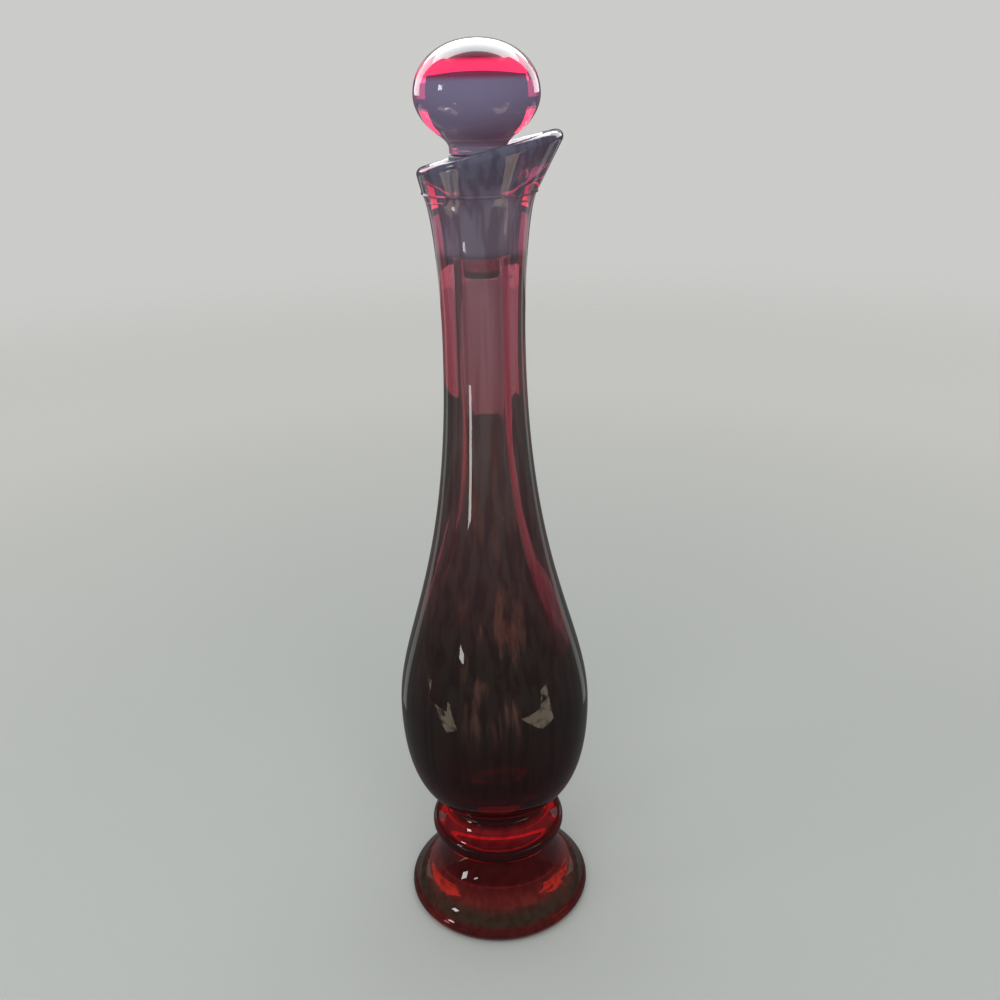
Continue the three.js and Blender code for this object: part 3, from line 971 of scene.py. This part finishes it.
def aimed(turn, fall):
    """Place on the table that the belly of the bulb sees at a turn and a fall in degrees."""
    turn = math.radians(turn)
    reach = bulb_height * MM / math.tan(math.radians(fall))
    return (math.sin(turn) * reach, math.cos(turn) * reach, WARM_PATCH_LEVEL)


def make_mirrored_cards():
    """Dark surroundings, apart from narrow gaps that draw pale lines along the sides of the glass."""
    front_left = (-ROOM_HALF_WIDTH, ROOM_FRONT)
    front_right = (ROOM_HALF_WIDTH, ROOM_FRONT)
    front_edge = [(*front_left, ROOM_HEIGHT), (*front_right, ROOM_HEIGHT)]
    middle_edge = [(-ROOM_HALF_WIDTH, 0, ROOM_HEIGHT), (ROOM_HALF_WIDTH, 0, ROOM_HEIGHT)]
    make_card("front_dark_card", wall(front_left, front_right, 0, ROOM_HEIGHT), **REFLECTED)
    make_card("top_dark_card", (front_edge, middle_edge), **REFLECTED)
    make_card("back_dark_card", standing(*BACK_CARD), **REFLECTED)
    make_card("back_table_dark_card", lying(*BACK_TABLE_CARD), **REFLECTED)
    make_card("foot_dark_card", lying(*FOOT_CARD), **REFLECTED)
    make_card("bulb_side_dark_card", standing(*BULB_SIDE_CARD), **REFLECTED)
    for name, side in SIDES:
        near = (SIDE_CARD_DISTANCE * side, ROOM_FRONT)
        far = (SIDE_CARD_DISTANCE * side, SIDE_CARD_BACK)
        make_card(name + "_dark_card", wall(near, far, 0, ROOM_HEIGHT), **REFLECTED)
        make_card(name + "_table_dark_card", lying(*SIDE_TABLE_CARD_PAIR, side), **REFLECTED)


def back_wall(half_width, low, high):
    """Rows of a stretch of the straight wall behind the vase."""
    return wall((-half_width, BACK_WALL), (half_width, BACK_WALL), low, high)


def make_cards_behind():
    """Dark wall and table as they show through the glass."""
    low_rows = back_wall(LOW_CARD_HALF_WIDTH, LOW_CARD_BOTTOM, UPPER_CARD_BOTTOM)
    upper_rows = back_wall(UPPER_CARD_HALF_WIDTH, UPPER_CARD_BOTTOM, UPPER_CARD_TOP)
    make_card("low_dark_card", low_rows, **BEHIND)
    make_card("upper_dark_card", upper_rows, **BEHIND)
    make_card("far_table_dark_card", lying(*FAR_TABLE_CARD), **BEHIND)
    make_card("middle_dark_card", standing(*MIDDLE_CARD), **BEHIND)
    make_card("middle_side_dark_card", standing(*MIDDLE_SIDE_CARD), **BEHIND)
    make_card("foot_shade_card", lying(*FOOT_SHADE_CARD), **BEHIND)


def make_glows():
    """Bright sill and windows behind the vase, and the smaller lights that the glass mirrors or shows."""
    make_glow("bright_sill", standing(*BRIGHT_SILL), *SILL_LIGHT, **BEHIND)
    make_glow("upper_sill", standing(*UPPER_SILL), *UPPER_SILL_LIGHT, **BEHIND)
    make_glow("crimson_sill", standing(*CRIMSON_SILL), *CRIMSON_SILL_LIGHT, **BEHIND)
    make_glow("foot_highlight", standing(*FOOT_HIGHLIGHT), *HIGHLIGHT_LIGHT, **REFLECTED)
    for name, side in SIDES:
        sheen = standing(*WINDOW_SHEEN_PAIR, side)
        caustic = lying(*CAUSTIC_PAIR, side)
        high_window = standing(*HIGH_WINDOW_PAIR, side)
        low_window = standing(*LOW_WINDOW_PAIR, side)
        make_glow(name + "_window_sheen", sheen, *SHEEN_LIGHT, **REFLECTED)
        make_glow(name + "_caustic", caustic, *CAUSTIC_LIGHT, **BEHIND)
        make_glow(name + "_high_window", high_window, *HIGH_WINDOW_LIGHT, **BEHIND)
        make_glow(name + "_low_window", low_window, *LOW_WINDOW_LIGHT, **BEHIND)
    make_glow("side_lip_glow", lying(*SIDE_LIP_GLOW), *LIP_LIGHT, **BEHIND)
    make_glow("front_lip_glow", lying(*FRONT_LIP_GLOW), *LIP_LIGHT, **BEHIND)
    for name, rows in (("left", LEFT_WARM_PATCH), ("right", RIGHT_WARM_PATCH)):
        places = [[aimed(turn, fall) for turn, fall in row] for row in rows]
        make_glow(name + "_warm_patch", places, *WARM_LIGHT, **REFLECTED)


def make_world():
    """Pale all round."""
    world = bpy.data.worlds.new("pale_studio")
    bpy.context.scene.world = world
    nodes = Nodes(world)
    light = nodes.add("ShaderNodeBackground", sockets={"Color": PALE_GREY, "Strength": 1.0})
    nodes.add("ShaderNodeOutputWorld", sockets={"Surface": light})


def make_lamp(name, place, target, width, height, radiance, on_surfaces=True, in_reflections=True):
    """Soft box of a given brightness that faces a point."""
    lamp = bpy.data.lights.new(name, "AREA")
    lamp.shape = "RECTANGLE"
    lamp.size = width
    lamp.size_y = height
    lamp.energy = radiance * math.pi * width * height
    thing = bpy.data.objects.new(name, lamp)
    thing.location = place
    thing.rotation_euler = (Vector(target) - Vector(place)).to_track_quat("-Z", "Y").to_euler()
    thing.visible_diffuse = on_surfaces
    thing.visible_glossy = in_reflections
    thing.visible_transmission = False
    bpy.context.scene.collection.objects.link(thing)


def make_lights():
    make_lamp("overhead_window_box", *OVERHEAD_WINDOW)
    make_lamp("front_soft_box", *FRONT_SOFT_BOX, in_reflections=False)
    make_lamp("window_sheen", *WINDOW_SHEEN, on_surfaces=False)
    make_lamp("left_high_lamp", *LEFT_HIGH_LAMP)
    make_lamp("left_low_lamp", *LEFT_LOW_LAMP)


# Camera, as the photo was taken
CAMERA_PLACE = (0, -0.2385, 0.2221)
CAMERA_YAW = math.radians(0.68)
CAMERA_PITCH = math.radians(22.74)
CAMERA_ROLL = math.radians(-1.45)
CAMERA_LENS = 36.83
CAMERA_NEAR_CLIP = 0.01
SENSOR_WIDTH = 36


def make_camera():
    camera = bpy.data.cameras.new("photo_camera")
    camera.lens = CAMERA_LENS
    camera.sensor_width = SENSOR_WIDTH
    camera.clip_start = CAMERA_NEAR_CLIP
    thing = bpy.data.objects.new("photo_camera", camera)
    level = math.cos(CAMERA_PITCH)
    ahead = Vector((math.sin(CAMERA_YAW) * level, math.cos(CAMERA_YAW) * level, -math.sin(CAMERA_PITCH)))
    right = Vector((math.cos(CAMERA_YAW), -math.sin(CAMERA_YAW), 0))
    up = right.cross(ahead)
    rolled_right = math.cos(CAMERA_ROLL) * right + math.sin(CAMERA_ROLL) * up
    rolled_up = math.cos(CAMERA_ROLL) * up - math.sin(CAMERA_ROLL) * right
    turn = Matrix((rolled_right, rolled_up, -ahead)).transposed()
    thing.matrix_world = Matrix.Translation(CAMERA_PLACE) @ turn.to_4x4()
    bpy.context.scene.collection.objects.link(thing)
    bpy.context.scene.camera = thing


make_camera()
make_floor()
make_mirrored_cards()
make_cards_behind()
make_glows()
make_world()
make_lights()
make_vase()
bpy.context.scene.view_settings.view_transform = "Standard"
